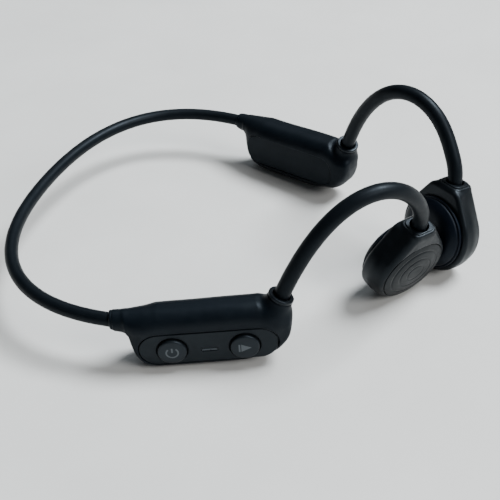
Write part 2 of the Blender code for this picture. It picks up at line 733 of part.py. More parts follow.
def build_electronics(right, left):
    """Board and its parts in the right pod, cell and its protection board in the left one."""
    for frame, boxes in ((right, RIGHT_BOXES), (left, LEFT_BOXES)):
        for name, (size, middle, finish) in boxes.items():
            box(name, Vector(size) * MM, finish, frame, Vector(middle) * MM)
    low, high = -2.0 * MM, -0.8 * MM
    y, z = MICROPHONE_MIDDLE
    round_piece("microphone", RIGHT, MICROPHONE_RADIUS, low, high, y, z, "steel", right, 16)


def build_charge_contacts(frame):
    """Two flush pins in the right pod's inner cover."""
    cover = bpy.data.objects["right_pod_cover"]
    for name, y in CONTACT_YS.items():
        for title, radius, low, high, finish in (
            (f"charge_hole_{name}", CONTACT_RADIUS + 0.4 * MM, -POD_FACE - MM, COVER_OUT + MM, None),
            (f"charge_contact_{name}", CONTACT_RADIUS, -POD_FACE + 0.05 * MM, -3.0 * MM, "gold"),
        ):
            piece = round_piece(title, RIGHT, radius, low, high, y, CONTACT_Z, finish, frame, 16)
            if finish is None:
                boolean(cover, piece)


# ---------------------------------------------------------------- transducers


def driver_ring(station):
    """Teardrop outline of the transducer housing at one height along its axis."""
    height, wider, shoulder, top, corner = (value * MM for value in station)
    reach = shoulder - corner
    shoulders = [(x, top - corner, corner) for x in (reach, -reach)]
    return [(x, y, height) for x, y in hull_of_discs([(0.0, 0.0, DRIVER_RADIUS + wider), *shoulders])]


def build_driver_housing(side, frame):
    """Teardrop shell with its collar for the hook, open at both faces."""
    name = f"{SIDES[side]}_driver_housing"
    housing = loft(name, [driver_ring(station) for station in HOUSING_STATIONS], "satin_black", frame)
    middle = Matrix.Translation((0.0, 0.0, -DRIVER_DEPTH / 2))
    depth = DRIVER_DEPTH + 4 * MM
    boolean(housing, cylinder(f"{name}_hollow", CAVITY_RADIUS, depth, None, frame, middle, 40))
    boolean(housing, cylinder(f"{name}_seat", CAP_RADIUS + GAP, CAP_SEAT_DEPTH, None, frame, None, 40))
    mouth = frame_points(frame, ((0.0, 14.0, COLLAR_MIDDLE / MM), (0.0, 22.0, COLLAR_MIDDLE / MM)))
    boolean(housing, tube(f"{name}_mouth", mouth, HOOK_RADIUS + GAP, None, 4))
    channel = frame_points(frame, ((0.0, 10.5, COLLAR_MIDDLE / MM), (0.0, 16.0, COLLAR_MIDDLE / MM)))
    boolean(housing, tube(f"{name}_channel", channel, HOOK_BORE + CHANNEL_GAP, None))


def frame_points(frame, points):
    return [np.array(frame.matrix_world @ (Vector(point) * MM)) for point in points]


def stack(side, part, profile, finish, frame, steps=24, closed=False):
    """A turned piece of the transducer, its profile in mm along the axis."""
    profile = [(radius * MM, height * MM) for radius, height in profile]
    turned(f"{SIDES[side]}_{part}", profile, finish, frame, None, steps, closed)


def build_driver(side):
    frame = new_frame(f"{SIDES[side]}_driver", driver_matrix(side))
    bpy.context.view_layer.update()
    build_driver_housing(side, frame)
    stack(side, "driver_cap", CAP_PROFILE, "satin_black", frame, 32)
    stack(side, "contact_pad", PAD_PROFILE, "pad_navy", frame, 32)
    stack(side, "vibration_plate", PLATE_PROFILE, "steel", frame, 32)
    stack(side, "voice_coil", COIL_PROFILE, "copper", frame, closed=True)
    stack(side, "magnet_yoke", YOKE_PROFILE, "steel", frame)
    stack(side, "magnet", MAGNET_PROFILE, "magnet_nickel", frame)
    stack(side, "suspension_spring", SPRING_PROFILE, "steel", frame, closed=True)
    lip = Matrix.Translation((0.0, COLLAR_TOP, COLLAR_MIDDLE)) @ Matrix.Rotation(math.pi / 2, 4, "X")
    outlines = [rounded_rectangle(*LIP_SIZE, LIP_CORNER, 4), circle(HOOK_RADIUS + 0.4 * MM)]
    plate(f"{SIDES[side]}_driver_lip", outlines, LIP_THICKNESS, "gloss_black", frame, lip)


# ---------------------------------------------------------------- assembly

clear_scene()
PARTS = new_collection("bone_conduction_headphones")
CUTTERS = new_collection("cutters")
CUTTERS.hide_render = True
MATERIALS = {
    "soft_black": new_material("soft_black", (0.012, 0.016, 0.02), 0.45),
    "satin_black": new_material("satin_black", (0.018, 0.021, 0.024), 0.38),
    "gloss_black": new_material("gloss_black", (0.02, 0.023, 0.026), 0.25),
    "pad_navy": new_material("pad_navy", (0.006, 0.01, 0.02), 0.6),
    "grey_rubber": new_material("grey_rubber", (0.12, 0.12, 0.12), 0.8),
    "titanium": new_material("titanium", (0.5, 0.49, 0.47), 0.3, 1.0),
    "steel": new_material("steel", (0.55, 0.55, 0.55), 0.35, 1.0),
    "magnet_nickel": new_material("magnet_nickel", (0.6, 0.6, 0.58), 0.2, 1.0),
    "copper": new_material("copper", (0.72, 0.35, 0.2), 0.35, 1.0),
    "gold": new_material("gold", (0.85, 0.62, 0.28), 0.25, 1.0),
    "board_green": new_material("board_green", (0.02, 0.13, 0.06), 0.5),
    "chip_black": new_material("chip_black", (0.02, 0.02, 0.02), 0.5),
    "cell_foil": new_material("cell_foil", (0.6, 0.6, 0.6), 0.4, 0.6),
    "led_white": new_material("led_white", (0.8, 0.8, 0.75), 0.3),
    "smoked_lens": new_material("smoked_lens", (0.05, 0.05, 0.055), 0.15),
}

PODS = {side: new_frame(f"{SIDES[side]}_pod", pod_matrix(side)) for side in SIDES}
bpy.context.view_layer.update()
build_neckband()
for side, pod in PODS.items():
    build_hook(side)
    build_pod_housing(side, pod)
    build_cover(side, pod)
    build_boot(side, pod)
    build_hook_ring(side)
    build_driver(side)
build_controls(PODS[RIGHT])
build_electronics(PODS[RIGHT], PODS[LEFT])
build_charge_contacts(PODS[RIGHT])
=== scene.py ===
"""Looks of the bone conduction headphones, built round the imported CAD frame.

Every visible shell is meshed from a signed distance field in millimetres, so that its walls run into
each other with real fillets, and then rides on the CAD body that it stands for.
"""

import math

import bpy
import numpy as np
from mathutils import Matrix, Vector


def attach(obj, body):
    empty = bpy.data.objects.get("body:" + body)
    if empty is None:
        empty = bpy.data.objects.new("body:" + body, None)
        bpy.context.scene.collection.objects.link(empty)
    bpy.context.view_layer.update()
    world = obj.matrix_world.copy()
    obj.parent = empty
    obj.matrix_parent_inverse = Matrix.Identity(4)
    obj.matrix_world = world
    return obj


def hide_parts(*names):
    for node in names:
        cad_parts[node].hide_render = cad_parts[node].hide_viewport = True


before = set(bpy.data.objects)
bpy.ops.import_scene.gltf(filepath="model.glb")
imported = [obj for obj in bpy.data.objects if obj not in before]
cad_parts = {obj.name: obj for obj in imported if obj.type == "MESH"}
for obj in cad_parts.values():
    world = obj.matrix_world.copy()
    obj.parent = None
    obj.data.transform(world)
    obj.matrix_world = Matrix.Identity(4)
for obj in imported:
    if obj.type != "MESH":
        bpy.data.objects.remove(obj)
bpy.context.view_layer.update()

MM = 0.001
RIGHT, LEFT = 1, -1
SIDES = {RIGHT: "right", LEFT: "left"}
FRAME_BODY = "frame"

# ---------------------------------------------------------------- driving dimensions, in millimetres

ORIGIN = np.array([0.0, 24.6, 0.0])
COLLAR_X, COLLAR_Z = 68.2, 17.9
BAND_SPLAY = math.radians(8.1)
BAND_START_PULL = 19.6
BAND_CORNER_X = 66.9
BAND_DEPTH = 58.1
BAND_RISE, BAND_SAG = 1.9, -0.65
BAND_RADIUS = 2.4

POD_YAW, POD_PITCH = math.radians(20.15), math.radians(2.0)
POD_FACE = 6.0
SOCKET_Y, SOCKET_Z = 56.0, 26.7
BOSS_RADIUS = 4.35
# Forward distance, bottom, top, half thickness, outward shift, then the radii of the upper outer,
# upper inner, lower inner and lower outer corners.
POD_STATIONS = np.array(
    (
        (5.5, 12.4, 20.4, 3.6, 0.9, 3.5, 3.5, 3.5, 3.5),
        (6.2, 8.0, 20.4, 4.2, 0.8, 3.6, 4.1, 3.6, 3.4),
        (7.8, 3.4, 20.6, 5.1, 0.6, 3.7, 4.8, 4.4, 3.4),
        (10.6, 0.6, 21.0, 5.7, 0.4, 3.5, 5.2, 4.9, 3.3),
        (15.5, -0.3, 22.0, 6.0, 0.1, 3.3, 5.4, 5.2, 3.3),
        (22.0, -0.4, 22.0, 6.0, 0.0, 3.3, 5.4, 5.2, 3.3),
        (42.0, 0.0, 22.4, 6.0, 0.0, 3.3, 5.4, 5.0, 3.1),
        (47.5, 1.2, 22.4, 6.0, 0.0, 3.5, 5.2, 4.8, 3.0),
        (50.8, 2.0, 21.7, 6.0, 0.0, 3.8, 5.0, 4.5, 3.1),
        (53.5, 3.4, 19.8, 5.9, 0.0, 3.9, 4.6, 4.2, 3.3),
        (55.8, 5.4, 18.8, 5.5, 0.0, 3.8, 4.1, 3.9, 3.5),
        (57.7, 8.2, 18.4, 4.8, 0.0, 3.5, 3.6, 3.5, 3.4),
        (58.7, 11.6, 18.0, 3.7, 0.0, 2.4, 2.4, 2.4, 2.4),
    )
)

# How much rounder the crest is moulded than its plain corner radius, and how far the inner side swells.
CREST_SOFTNESS = {RIGHT: 1.55, LEFT: 1.0}
INNER_SWELL = 0.6
# The boot: where it begins and ends, how far it tapers, its half width and half height and their tapers.
BOOT_REAR, BOOT_FRONT, BOOT_TAPER_LENGTH = -0.2, 6.0, 5.6
BOOT_HALF_WIDTH, BOOT_HALF_HEIGHT = (3.3, -0.5), (3.4, -0.6)
BOOT_SHIFT, BOOT_DROP = 0.5, 0.25
# The neck, a cone that widens forward and takes the boot into the pod.
NECK_START, NECK_END = np.array((0.1, 0.9, 17.85)), np.array((0.9, 10.5, 16.9))
NECK_RADIUS, NECK_SWELL = 3.5, 0.9
# The boss under each hook, measured back along the hook from its root, and the flare of its lowest part.
BOSS_TOP, BOSS_FOOT = 2.6, 15.0
BOSS_FLARE, BOSS_FLARE_SHARE = 1.0, 0.45
SOCKET_GAP, SOCKET_REACH = 0.45, 6.0
# The dip round the boss: off its wall, below its top, how thick, and how far it is stretched upright.
SCOOP_OFFSET, SCOOP_DROP, SCOOP_RADIUS, SCOOP_SQUEEZE = 0.7, 0.6, 1.3, 0.6

PANEL_Y, PANEL_Z = 31.2, 8.5
PANEL_LENGTH, PANEL_HEIGHT = 45.4, 12.4
PANEL_FLOOR, PANEL_GAP = 4.7, 0.18
WELL_RADIUS, WELL_TAPER = 5.6, 0.35
BUTTON_RADIUS, BUTTON_TOP = 4.8, 7.2
BUTTON_SKIRT, BUTTON_EDGE, BUTTON_CROWN = 0.85, 0.55, 0.12
STEM_RADIUS, STEM_END, STEM_HOLE, STEM_HOLE_FLOOR = 1.5, 3.1, 2.0, 2.1
POWER_Y, PLAY_Y, BUTTON_Z = 19.2, 42.9, 8.0
LIGHT_Y, LIGHT_Z = 31.3, 7.3
# Half length, half height and corner radius of the light slot and of the lens in it.
SLOT_OUTLINE, LENS_OUTLINE = (2.75, 0.6, 0.58), (2.6, 0.45, 0.44)
SLOT_FLOOR, LENS_BACK, LENS_FACE = 5.2, 5.0, 5.95
MARK_LIFT, MARK_THICKNESS = 0.015, 0.03
COVER_Y, COVER_Z = 30.0, 10.4
COVER_LENGTH, COVER_HEIGHT, COVER_RADIUS = 43.0, 12.8, 5.4
COVER_FACE, COVER_BACK, COVER_GAP = -6.0, -4.7, 0.05
CONTACT_YS, CONTACT_Z, CONTACT_HOLE = (20.0, 25.0), 8.4, 1.3

HOOK_RADIUS = 2.7
HOOK_START_ANGLE = math.radians(72.0)
HOOK_START_PULL = 51.8
HOOK_END = (42.7, 6.6)
HOOK_END_PULL = 25.6
HOOK_INWARD, HOOK_INWARD_BEND = 32.8, -0.6
HOOK_CUT = 0.84
# The lip round the hook's root: clear of the hook, its outer radius, its two levels and its edges.
RING_GAP, RING_RADIUS, RING_LOW, RING_HIGH = 0.32, 4.35, -2.5, -1.3
RING_EDGES = (0.25, 0.4, 0.15)
# Yaw, pitch and roll of each hook about its socket, in degrees.
HOOK_TURN = {RIGHT: (10.5, -2.8, 5.4), LEFT: (-3.5, 4.2, -3.5)}

DRIVER_CENTRE = {RIGHT: (10.4, 89.1, 13.7), LEFT: (-20.3, 98.7, 14.19)}
DRIVER_TOE = {RIGHT: math.radians(50.6), LEFT: math.radians(36.7)}
DRIVER_TILT = {RIGHT: math.radians(14.7), LEFT: math.radians(8.6)}
DRIVER_DEPTH = 10.3
CAP_RADIUS = 12.5
CAP_DOME, CAP_FALL, CAP_FALL_POWER = 1.25, 1.3, 2.2
CAP_EDGE, CAP_BACK = 0.35, -1.2
# Turned rings on the cap: radius, depth and width of each groove.
CAP_GROOVES = ((3.4, 0.12, 0.34), (6.6, 0.14, 0.36), (9.8, 0.16, 0.38))
# The housing's round part at its face and its growth, then the half width and the corner radius of its
# top: the value at the face, the growth, the depth at which growth ends and the power of its curve.
HOUSING_RADIUS, HOUSING_SWELL, HOUSING_SWELL_DEPTH = 14.15, 1.2, 6.5
HOUSING_REACH, HOUSING_CORNER = (5.3, 3.1, 9.0, 1.3), (1.6, 3.2, 9.4, 1.5)
HOUSING_TOP, HOUSING_TOP_FALL = 18.9, 0.5
CAP_SEAT_GAP, CAP_SEAT_FLOOR = 0.14, -1.3
PAD_SEAT_RADIUS, PAD_SEAT_FLOOR = 12.0, -9.2
COLLAR_TOP, COLLAR_MIDDLE, COLLAR_ROOT = 19.2, -4.8, 12.0
# Half width, half height and corner radius of the squared collar and of its lip.
COLLAR_OUTLINE, LIP_OUTLINE = (4.9, 4.4, 2.6), (4.35, 3.9, 2.2)
LIP_DEPTH, LIP_RISE, LIP_GAP, MOUTH_GAP, MOUTH_FLOOR = 0.7, 0.25, 0.5, 0.4, 10.0
PAD_FACE, PAD_EDGE, PAD_RIM, PAD_BACK = -14.2, -11.5, 13.7, -9.5
PAD_FLAT, PAD_SHOULDER = 7.6, 12.8

# Reach of each swept tube into what holds it.
BAND_TUCK, HOOK_ROOT_TUCK, HOOK_TIP_TUCK = 3.0, 5.4, 3.0

# Widths of the fillets and rounded edges where forms run into each other.
BOOT_REAR_EDGE, BOOT_FRONT_EDGE = 0.8, 0.3
POD_REAR_EDGE, POD_FRONT_EDGE = 0.6, 1.6
SCOOP_FILLET, BOSS_RIM, BOSS_FILLET = 1.8, 0.5, 2.0
NECK_MOUTH, NECK_FILLET = 0.3, 2.4
COVER_EDGE, CONTACT_EDGE, POCKET_EDGE, SOCKET_EDGE = 0.12, 0.25, 0.45, 0.4
PANEL_EDGE, WELL_EDGE, SLOT_EDGE, LENS_EDGE = 0.28, 0.3, 0.25, 0.15
HOUSING_OUTER_EDGE, HOUSING_INNER_EDGE = 2.3, 1.5
CAP_SEAT_EDGE, PAD_SEAT_EDGE, COLLAR_EDGE, COLLAR_FILLET = 0.35, 0.5, 0.35, 1.2
LIP_EDGE, MOUTH_EDGE = 0.35, 0.4
# An edge cut nearly sharp, and the level beyond a pod's sides at which its cutters end.
SHARP, BEYOND = 0.1, 9.0


# ---------------------------------------------------------------- paths and frames


def unit(vector):
    vector = np.array(vector, float)
    return vector / np.linalg.norm(vector)


def bezier(corners, count, end=1.0):
    t = np.linspace(0.0, end, count)[:, None]
    a, b, c, d = (np.array(corner, float) for corner in corners)
    return (1 - t) ** 3 * a + 3 * (1 - t) ** 2 * t * b + 3 * (1 - t) * t**2 * c + t**3 * d


def rotation(angle, axis):
    return np.array(Matrix.Rotation(angle, 3, axis))


def band_path():
    """Neckband centre line from the right collar round the back to the left one."""
    pull = (math.sin(BAND_SPLAY) * BAND_START_PULL, -math.cos(BAND_SPLAY) * BAND_START_PULL)
    corners = (
        (COLLAR_X, 0.0),
        (COLLAR_X + pull[0], pull[1]),
        (BAND_CORNER_X, -BAND_DEPTH),
        (0.0, -BAND_DEPTH),
    )
    half = bezier(corners, 120)
    plan = np.concatenate([half, half[-2::-1] * (-1, 1)])
    back = -plan[:, 1] / BAND_DEPTH
    height = COLLAR_Z + BAND_RISE * back + BAND_SAG * back**2
    return np.column_stack([plan, height]) - ORIGIN


class Frame:
    """A local frame: rows of points go to the world and back, all in millimetres."""

    def __init__(self, axes, origin):
        self.axes = np.array(axes, float)  # one axis per column
        self.origin = np.array(origin, float)

    def world(self, points):
        return np.asarray(points, float) @ self.axes.T + self.origin

    def local(self, points):
        return (np.asarray(points, float) - self.origin) @ self.axes


def pod_frame(side):
    """x outward, y forward, z up, from the floor under the collar. The left pod's frame is mirrored."""
    turn = rotation(side * POD_YAW, "Z") @ rotation(POD_PITCH, "X")
    axes = turn * (side, 1, 1)
    lift = np.array([0.0, 0.0, COLLAR_Z])
    corner = np.array([side * COLLAR_X, 0.0, 0.0]) - ORIGIN
    return Frame(axes, corner + lift - turn @ lift)


def driver_frame(side):
    """z out of the outer face, y up towards the hook."""
    toe, tilt = DRIVER_TOE[side], DRIVER_TILT[side]
    level = math.cos(tilt)
    normal = np.array((side * level * math.cos(toe), level * math.sin(toe), -math.sin(tilt)))
    across = unit(np.cross((0, 0, 1), normal))
    up = np.cross(normal, across)
    return Frame(np.column_stack([across, up, normal]), np.array(DRIVER_CENTRE[side]) - ORIGIN)


PODS = {side: pod_frame(side) for side in SIDES}
DRIVERS = {side: driver_frame(side) for side in SIDES}


def hook_path(side):
    """Ear hook centre line from its pod socket to the mouth of its transducer."""
    forward = PODS[side].axes[:, 1]
    plan = np.array((side * COLLAR_X, 0.0, 0.0)) - ORIGIN + SOCKET_Y * unit((*forward[:2], 0.0))
    socket = np.array((plan[0], plan[1], SOCKET_Z))
    start = HOOK_START_PULL * np.array((math.cos(HOOK_START_ANGLE), math.sin(HOOK_START_ANGLE)))
    corners = ((0.0, 0.0), start, (HOOK_END[0], HOOK_END[1] + HOOK_END_PULL), HOOK_END)
    flat = bezier(corners, 60, HOOK_CUT)
    t = np.linspace(0.0, HOOK_CUT, 60)
    inward = HOOK_INWARD * t + HOOK_INWARD_BEND * t**2
    yaw, pitch, roll = (math.radians(angle) for angle in HOOK_TURN[side])
    turn = rotation(yaw, "Z") @ rotation(pitch, "X") @ rotation(roll, "Y")
    points = np.column_stack([-inward, flat]) @ turn.T
    points[:, 0] *= side
    points += socket
    mouth = DRIVERS[side].world((0.0, COLLAR_TOP, COLLAR_MIDDLE))
    up = DRIVERS[side].axes[:, 1]
    reach = np.linalg.norm(mouth - points[-1]) / 3
    way = unit(points[-1] - points[-2])
    tail = bezier((points[-1], points[-1] + reach * way, mouth + reach * up, mouth), 14)
    return np.concatenate([points, tail[1:]])


def smoothed(points, count, passes=60):
    """Evenly spaced points along a path, with any kink relaxed away; the ends stay put."""
    steps = np.linalg.norm(np.diff(points, axis=0), axis=1)
    along = np.concatenate([[0.0], np.cumsum(steps)])
    wanted = np.linspace(0.0, along[-1], count)
    path = np.stack([np.interp(wanted, along, points[:, i]) for i in range(3)], axis=1)
    for _ in range(passes):
        path[1:-1] += 0.25 * (path[:-2] + path[2:] - 2 * path[1:-1])
    return path


# ---------------------------------------------------------------- meshes


def new_object(name, points, faces, matte, normals=None, body=FRAME_BODY):
    """A piece in world millimetres, smooth shaded, riding on a CAD body."""
    mesh = bpy.data.meshes.new(name)
    mesh.from_pydata((np.asarray(points) * MM).tolist(), [], faces)
    mesh.shade_smooth()
    if normals is not None:
        mesh.normals_split_custom_set_from_vertices(normals.tolist())
    obj = bpy.data.objects.new(name, mesh)
    bpy.context.scene.collection.objects.link(obj)
    obj.data.materials.append(MATERIALS[matte])
    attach(obj, body)
    return obj


def grid_faces(rows, columns):
    """Quads between the rings of a tube; columns wrap round."""
    i, j = np.arange(rows - 1)[:, None], np.arange(columns)[None, :]
    following = (j + 1) % columns
    above, below = i * columns, (i + 1) * columns
    quads = np.broadcast_arrays(above + j, above + following, below + following, below + j)
    return np.stack(quads, axis=-1).reshape(-1, 4).tolist()


def sweep(name, path, radius, matte, around=40, body=FRAME_BODY):
    """A round tube along a path, closed by a flat fan at each end."""
    ways = np.gradient(path, axis=0)
    ways /= np.linalg.norm(ways, axis=1)[:, None]
    across = np.zeros_like(ways)
    across[0] = unit(np.cross(ways[0], (0.0, 0.1, 1.0)))
    for i in range(1, len(path)):
        across[i] = unit(across[i - 1] - ways[i] * (across[i - 1] @ ways[i]))
    up = np.cross(ways, across)
    angle = np.linspace(0, 2 * math.pi, around, endpoint=False)[None, :, None]
    rings = path[:, None] + radius * (np.cos(angle) * across[:, None] + np.sin(angle) * up[:, None])
    points = np.concatenate([rings.reshape(-1, 3), path[:1], path[-1:]])
    faces = grid_faces(len(path), around)
    first, last = len(points) - 2, len(points) - 1
    tail = (len(path) - 1) * around
    for j in range(around):
        faces.append([first, (j + 1) % around, j])
        faces.append([last, tail + j, tail + (j + 1) % around])
    return new_object(name, points, faces, matte, body=body)


def lathe(name, profile, place, matte, steps=96, body=FRAME_BODY, closed=False):
    """A profile of (radius, height) turned about the local z axis of place; the ends may lie on the axis."""
    angle = np.linspace(0, 2 * math.pi, steps, endpoint=False)
    points, rings = [], []
    for radius, height in profile:
        if radius < 1e-6:
            rings.append([len(points)])
            points.append((0.0, 0.0, height))
        else:
            rings.append(list(range(len(points), len(points) + steps)))
            ring = (radius * np.cos(angle), radius * np.sin(angle), np.full(steps, height))
            points.extend(np.column_stack(ring))
    faces = []
    pairs = list(zip(rings, rings[1:]))
    if closed:
        pairs.append((rings[-1], rings[0]))
    for upper, lower in pairs:
        for j in range(steps):
            k = (j + 1) % steps
            turns = ((upper, j), (lower, j), (lower, k), (upper, k))
            quad = list(dict.fromkeys(ring[turn % len(ring)] for ring, turn in turns))
            if len(quad) > 2:
                faces.append(quad)
    return new_object(name, place.world(points), faces, matte, body=body)


def arc(centre, radius, start, end, steps=6):
    """Points round an arc in a profile, angles in degrees."""
    angles = np.radians(np.linspace(start, end, steps))
    return [(centre[0] + radius * math.cos(a), centre[1] + radius * math.sin(a)) for a in angles]


# The corners of a grid cell, the edges between them, and how far points are drawn onto the surface.
EDGES = [(a, b) for a in range(8) for b in range(8) if a < b and bin(a ^ b).count("1") == 1]
CORNERS = np.array([[(c >> 2) & 1, (c >> 1) & 1, c & 1] for c in range(8)])
SETTLING_PASSES, LONGEST_MOVE, LEAST_SLOPE = 5, 0.6, 0.05


def gradient(field, points, step=0.02):
    slopes = []
    for axis in range(3):
        shift = np.zeros(3)
        shift[axis] = step
        slopes.append((field(points + shift) - field(points - shift)) / (2 * step))
    return np.stack(slopes, axis=1)


def surface_of(field, low, high, cell):
    """Surface nets: one vertex for each grid cell that the surface crosses, then drawn onto the surface."""
    axes = [np.arange(a - cell, b + 2 * cell, cell) for a, b in zip(low, high)]
    shape = tuple(len(axis) for axis in axes)
    values = np.empty(shape, np.float32)
    for i, x in enumerate(axes[0]):
        sheet = np.stack(np.meshgrid([x], axes[1], axes[2], indexing="ij"), axis=-1).reshape(-1, 3)
        values[i] = field(sheet).reshape(shape[1:])
    inside = values < 0
    cell_shape = tuple(n - 1 for n in shape)
    count = np.zeros(cell_shape, np.int8)
    for corner in CORNERS:
        count += inside[tuple(slice(start, start + n) for start, n in zip(corner, cell_shape))]
    cells = np.argwhere((count > 0) & (count < 8))
    corner_values = np.stack([values[tuple((cells + corner).T)] for corner in CORNERS], axis=1)
    total, crossings = np.zeros((len(cells), 3)), np.zeros(len(cells))
    for a, b in EDGES:
        va, vb = corner_values[:, a], corner_values[:, b]
        crossed = (va < 0) != (vb < 0)
        part = np.where(crossed, va / np.where(crossed, va - vb, 1.0), 0.0)[:, None]
        total += np.where(crossed[:, None], CORNERS[a] + part * (CORNERS[b] - CORNERS[a]), 0.0)
        crossings += crossed
    origin = np.array([axis[0] for axis in axes])
    points = origin + cell * (cells + total / crossings[:, None])
    for _ in range(SETTLING_PASSES):
        slope = gradient(field, points)
        move = field(points)[:, None] * slope / np.maximum((slope**2).sum(1), LEAST_SLOPE)[:, None]
        length = np.linalg.norm(move, axis=1)[:, None]
        points -= move * np.minimum(1.0, LONGEST_MOVE * cell / np.maximum(length, 1e-9))
    slope = gradient(field, points)
    normals = slope / np.maximum(np.linalg.norm(slope, axis=1), 1e-9)[:, None]

    number = np.full(cell_shape, -1, np.int64)
    number[tuple(cells.T)] = np.arange(len(cells))
    faces = []
    for axis in range(3):
        side_a, side_b = [other for other in range(3) if other != axis]
        near = [slice(None)] * 3
        far = [slice(None)] * 3
        near[axis], far[axis] = slice(0, -1), slice(1, None)
        turned = inside[tuple(near)] != inside[tuple(far)]
        spots = np.argwhere(turned)
        spots = spots[(spots[:, side_a] > 0) & (spots[:, side_b] > 0)]
        spots = spots[(spots[:, side_a] < shape[side_a] - 1) & (spots[:, side_b] < shape[side_b] - 1)]
        ring = []
        for da, db in ((1, 1), (0, 1), (0, 0), (1, 0)):
            corner = spots.copy()
            corner[:, side_a] -= da
            corner[:, side_b] -= db
            ring.append(number[tuple(corner.T)])
        quads = np.stack(ring, axis=1)
        outward = inside[tuple(spots.T)]
        if axis == 1:
            outward = ~outward
        quads[~outward] = quads[~outward][:, ::-1]
        faces.append(quads)
    return points, np.concatenate(faces), normals


def carve(name, field, low, high, cell, place, matte, body=FRAME_BODY):
    """A piece whose surface is where field is zero, in the local frame of place."""
    points, faces, normals = surface_of(field, low, high, cell)
    mirrored = np.linalg.det(place.axes) < 0
    faces = faces[:, ::-1] if mirrored else faces
    return new_object(name, place.world(points), faces.tolist(), matte, normals @ place.axes.T, body)


# ---------------------------------------------------------------- distance fields


def soft_min(a, b, blend):
    part = np.clip(0.5 + 0.5 * (b - a) / blend, 0.0, 1.0)
    return b * (1 - part) + a * part - blend * part * (1 - part)


def soft_max(a, b, blend):
    return -soft_min(-a, -b, blend)


def rounded(dx, dz, half_x, half_z, radius):
    """Distance to a rounded rectangle centred on zero."""
    qx, qz = np.abs(dx) - half_x + radius, np.abs(dz) - half_z + radius
    return np.hypot(np.maximum(qx, 0), np.maximum(qz, 0)) + np.minimum(np.maximum(qx, qz), 0) - radius


def slab(flat, height, low, high, edge):
    """A plane outline given a thickness, with rounded edges."""
    across = flat + edge
    up = np.abs(height - (low + high) / 2) - (high - low) / 2 + edge
    return np.hypot(np.maximum(across, 0), np.maximum(up, 0)) + np.minimum(np.maximum(across, up), 0) - edge


def along_of(points, start, end):
    """How far along an axis points lie, from 0 to 1, and how far they are from it."""
    axis = end - start
    part = (points - start) @ axis / (axis @ axis)
    nearest = start + np.clip(part, 0, 1)[:, None] * axis
    return part, np.linalg.norm(points - nearest, axis=1)


def eased(table, where):
    """Columns of a table of stations, run through smoothly with no overshoot."""
    x = table[:, 0]
    steps = np.diff(x)
    where = np.clip(where, x[0], x[-1])
    index = np.clip(np.searchsorted(x, where, side="right") - 1, 0, len(x) - 2)
    width = steps[index]
    t = (where - x[index]) / width
    out = []
    for column in table.T[1:]:
        slope = np.diff(column) / steps
        tangent = np.zeros(len(x))
        same = slope[:-1] * slope[1:] > 0
        w1, w2 = 2 * steps[1:] + steps[:-1], steps[1:] + 2 * steps[:-1]
        safe1 = np.where(same, slope[:-1], 1.0)
        safe2 = np.where(same, slope[1:], 1.0)
        tangent[1:-1] = np.where(same, (w1 + w2) / (w1 / safe1 + w2 / safe2), 0.0)
        tangent[0], tangent[-1] = slope[0], slope[-1]
        start = (1 + 2 * t) * (1 - t) ** 2 * column[index] + t * (1 - t) ** 2 * tangent[index] * width
        end = t**2 * (3 - 2 * t) * column[index + 1] + t**2 * (t - 1) * tangent[index + 1] * width
        out.append(start + end)
    return out


def smoothstep(value):
    value = np.clip(value, 0, 1)
    return value * value * (3 - 2 * value)


def boss_of(points, path):
    """The boss at the hook's root, and the dip that is scooped out round it."""
    way = unit(path[1] - path[0])
    top, foot = path[0] - BOSS_TOP * way, path[0] - BOSS_FOOT * way
    part, away = along_of(points, foot, top)
    height = (points - top) @ way
    flare = BOSS_FLARE * smoothstep((1 - part) / BOSS_FLARE_SHARE)
    boss = soft_max(away - BOSS_RADIUS - flare, height, BOSS_RIM)
    ring = np.hypot(away - (BOSS_RADIUS + SCOOP_OFFSET), (height + SCOOP_DROP) * SCOOP_SQUEEZE)
    return boss, ring - SCOOP_RADIUS


def neck_of(points):
    run, away = along_of(points, NECK_START, NECK_END)
    wall = away - (NECK_RADIUS + NECK_SWELL * np.clip(run, 0, 1))
    return soft_max(wall, NECK_START[1] - points[:, 1], NECK_MOUTH)


def body_of(points, side):
    """The pod's own form, run through its stations."""
    u, y, z = points.T
    low, high, half, shift, upper_outer, upper_inner, lower_inner, lower_outer = eased(POD_STATIONS, y)
    upper_outer = np.minimum(CREST_SOFTNESS[side] * upper_outer, half - 0.3)
    du, dz = u - shift, z - (low + high) / 2
    crown = 1 - np.clip(2 * dz / (high - low), -1, 1) ** 2
    half = half + np.where(du < 0, INNER_SWELL * crown, 0.0)
    outer = np.where(dz > 0, upper_outer, lower_outer)
    inner = np.where(dz > 0, upper_inner, lower_inner)
    body = rounded(du, dz, half, (high - low) / 2, np.where(du > 0, outer, inner))
    body = soft_max(body, POD_STATIONS[0, 0] - y, POD_REAR_EDGE)
    return soft_max(body, y - POD_STATIONS[-1, 0], POD_FRONT_EDGE)


def panel_outline(y, z, gap=0.0):
    half_length, half_height = PANEL_LENGTH / 2 + gap, PANEL_HEIGHT / 2 + gap
    return rounded(y - PANEL_Y, z - PANEL_Z, half_length, half_height, PANEL_HEIGHT / 2)


def cover_outline(y, z, gap=0.0):
    half_length, half_height = COVER_LENGTH / 2 + gap, COVER_HEIGHT / 2 + gap
    return rounded(y - COVER_Y, z - COVER_Z, half_length, half_height, COVER_RADIUS)


